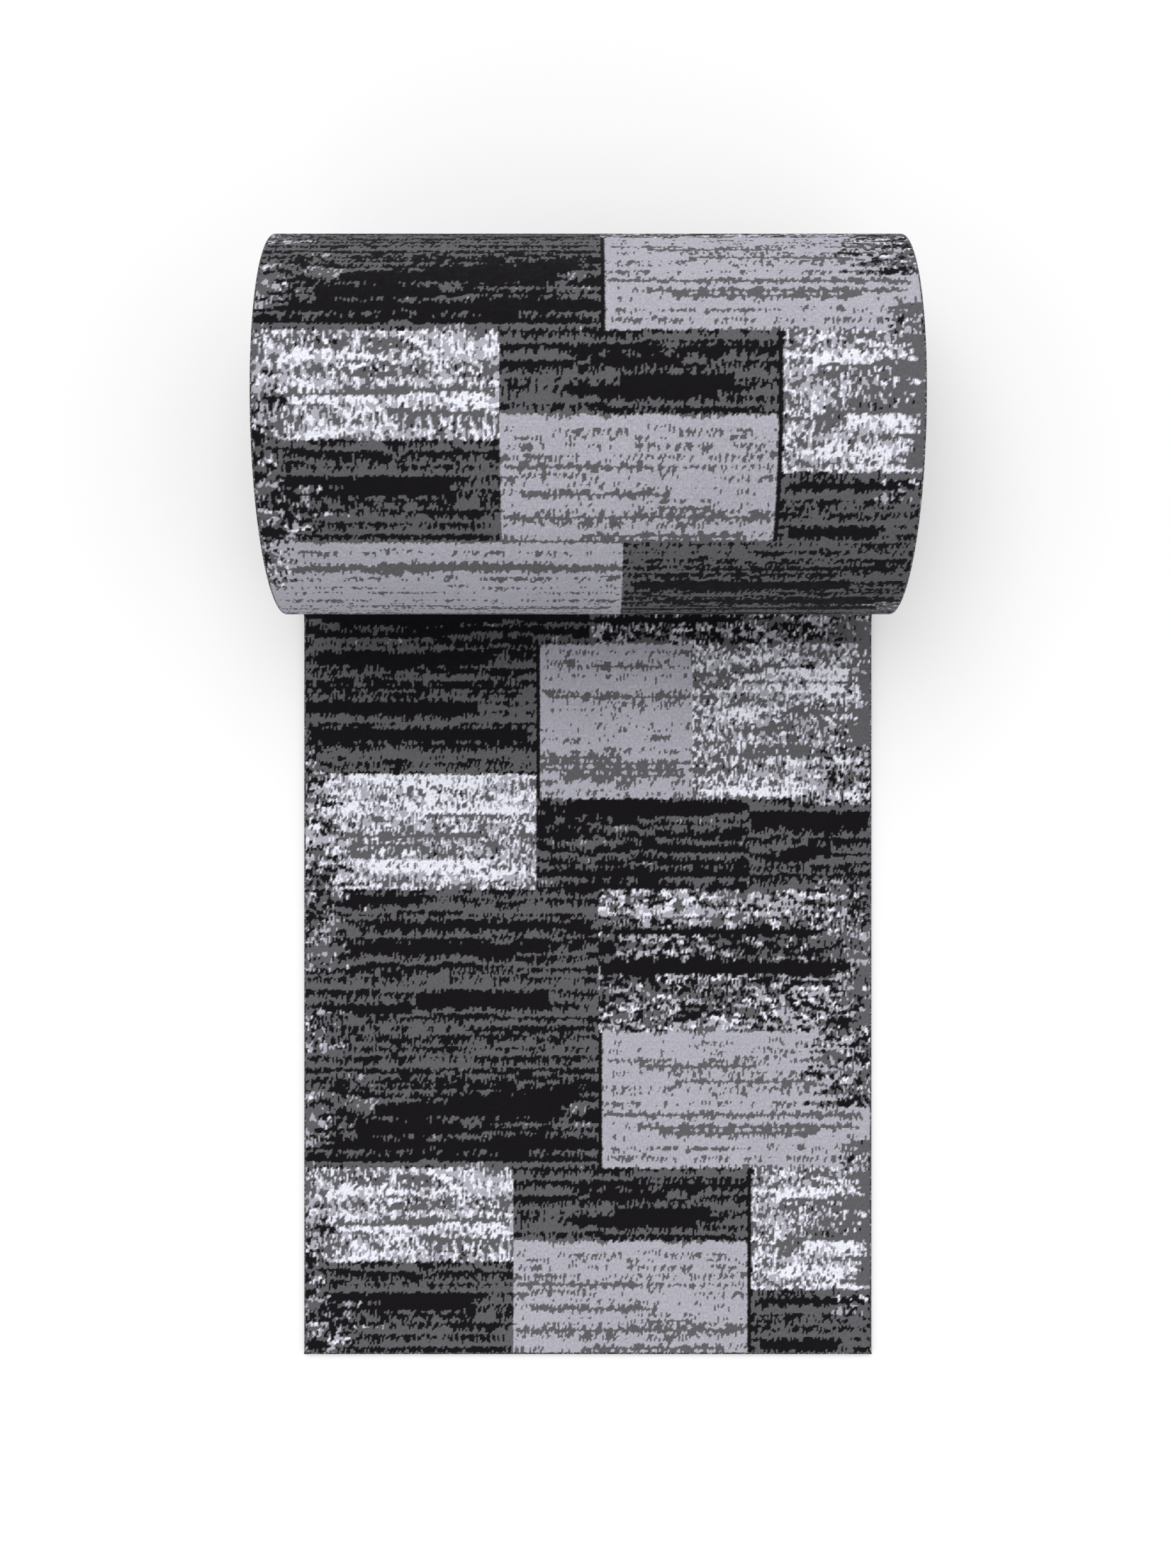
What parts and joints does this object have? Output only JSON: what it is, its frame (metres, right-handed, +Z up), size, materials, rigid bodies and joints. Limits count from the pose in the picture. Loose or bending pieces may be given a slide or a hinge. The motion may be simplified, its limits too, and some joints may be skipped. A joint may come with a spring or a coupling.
{
  "type": "runner rug",
  "caption": "Patterned pile runner rug wound on a core tube, with its free end laid flat in hinged panels that lift and curl back.",
  "frame": {"origin": "centre of the footprint, on the floor", "axes": "+Z up, +Y along the runner from its free end towards the roll, +X across the runner"},
  "size_m": [0.812, 1.515, 0.43],
  "materials": {
    "pile_yarn": "short woven pile, heat-set yarn, slight sheen",
    "backing_cloth": "woven backing with a thin size coat, matt",
    "serging_yarn": "overlocked yarn, matt",
    "tube_board": "spirally wound board, matt"
  },
  "bodies": {
    "roll": {"core_tube": "tube_board", "wound_pile": "pile_yarn", "wound_backing": "backing_cloth", "wound_edge_left": "serging_yarn", "wound_edge_right": "serging_yarn", "outer_turn_pile": "pile_yarn", "outer_turn_backing": "backing_cloth", "outer_turn_edge_left": "serging_yarn", "outer_turn_edge_right": "serging_yarn", "tail_pile": "pile_yarn", "tail_backing": "backing_cloth", "tail_edge_left": "serging_yarn", "tail_edge_right": "serging_yarn"},
    "panel_1": {"panel_1_pile": "pile_yarn", "panel_1_backing": "backing_cloth", "panel_1_edge_left": "serging_yarn", "panel_1_edge_right": "serging_yarn"},
    "panel_2": {"panel_2_pile": "pile_yarn", "panel_2_backing": "backing_cloth", "panel_2_edge_left": "serging_yarn", "panel_2_edge_right": "serging_yarn"},
    "panel_3": {"panel_3_pile": "pile_yarn", "panel_3_backing": "backing_cloth", "panel_3_edge_left": "serging_yarn", "panel_3_edge_right": "serging_yarn"},
    "panel_4": {"panel_4_pile": "pile_yarn", "panel_4_backing": "backing_cloth", "panel_4_edge_left": "serging_yarn", "panel_4_edge_right": "serging_yarn", "end_binding": "serging_yarn"}
  },
  "joints": [
    {"name": "fold_1", "type": "hinge", "parent": "roll", "child": "panel_1", "pos_m": [0, 0.165, 0.008], "axis": [-1, 0, 0], "range_deg": [0, 45]},
    {"name": "fold_2", "type": "hinge", "parent": "panel_1", "child": "panel_2", "pos_m": [0, -0.06563, 0.008], "axis": [-1, 0, 0], "range_deg": [0, 45]},
    {"name": "fold_3", "type": "hinge", "parent": "panel_2", "child": "panel_3", "pos_m": [0, -0.29625, 0.008], "axis": [-1, 0, 0], "range_deg": [0, 45]},
    {"name": "fold_4", "type": "hinge", "parent": "panel_3", "child": "panel_4", "pos_m": [0, -0.52687, 0.008], "axis": [-1, 0, 0], "range_deg": [0, 45]}
  ]
}
